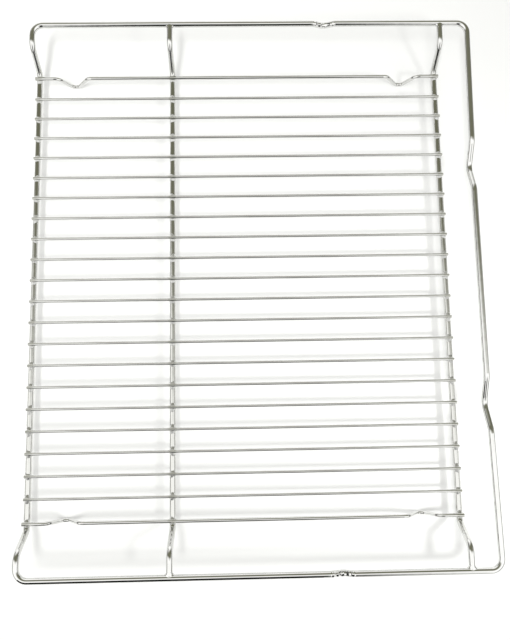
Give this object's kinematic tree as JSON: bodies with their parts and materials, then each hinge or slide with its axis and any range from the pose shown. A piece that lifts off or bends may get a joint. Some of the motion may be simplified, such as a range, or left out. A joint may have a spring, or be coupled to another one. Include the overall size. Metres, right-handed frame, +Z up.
{
  "type": "oven shelf rack",
  "caption": "Recessed wire shelf for a built-in oven: a raised rim wire that slides in side rails, bent support wires and a row of welded cross wires standing on bent wire feet.",
  "frame": {"origin": "on the surface that the four wire feet stand on, under the middle of the rack's outline", "axes": "+X to the right along the wide way, +Y from the low front run to the raised back run, +Z up"},
  "size_m": [0.455, 0.3748, 0.0372],
  "materials": {
    "chrome_wire": "bright chrome plate on drawn steel wire"
  },
  "bodies": {
    "root": {"rim_wire": "chrome_wire", "middle_support_wire": "chrome_wire", "rear_support_wire": "chrome_wire", "cross_wire_01": "chrome_wire", "cross_wire_02": "chrome_wire", "cross_wire_03": "chrome_wire", "cross_wire_04": "chrome_wire", "cross_wire_05": "chrome_wire", "cross_wire_06": "chrome_wire", "cross_wire_07": "chrome_wire", "cross_wire_08": "chrome_wire", "cross_wire_09": "chrome_wire", "cross_wire_10": "chrome_wire", "cross_wire_11": "chrome_wire", "cross_wire_12": "chrome_wire", "cross_wire_13": "chrome_wire", "cross_wire_14": "chrome_wire", "cross_wire_15": "chrome_wire", "cross_wire_16": "chrome_wire", "cross_wire_17": "chrome_wire", "cross_wire_18": "chrome_wire", "cross_wire_19": "chrome_wire", "cross_wire_20": "chrome_wire", "left_foot_wire": "chrome_wire", "right_foot_wire": "chrome_wire"}
  },
  "joints": []
}
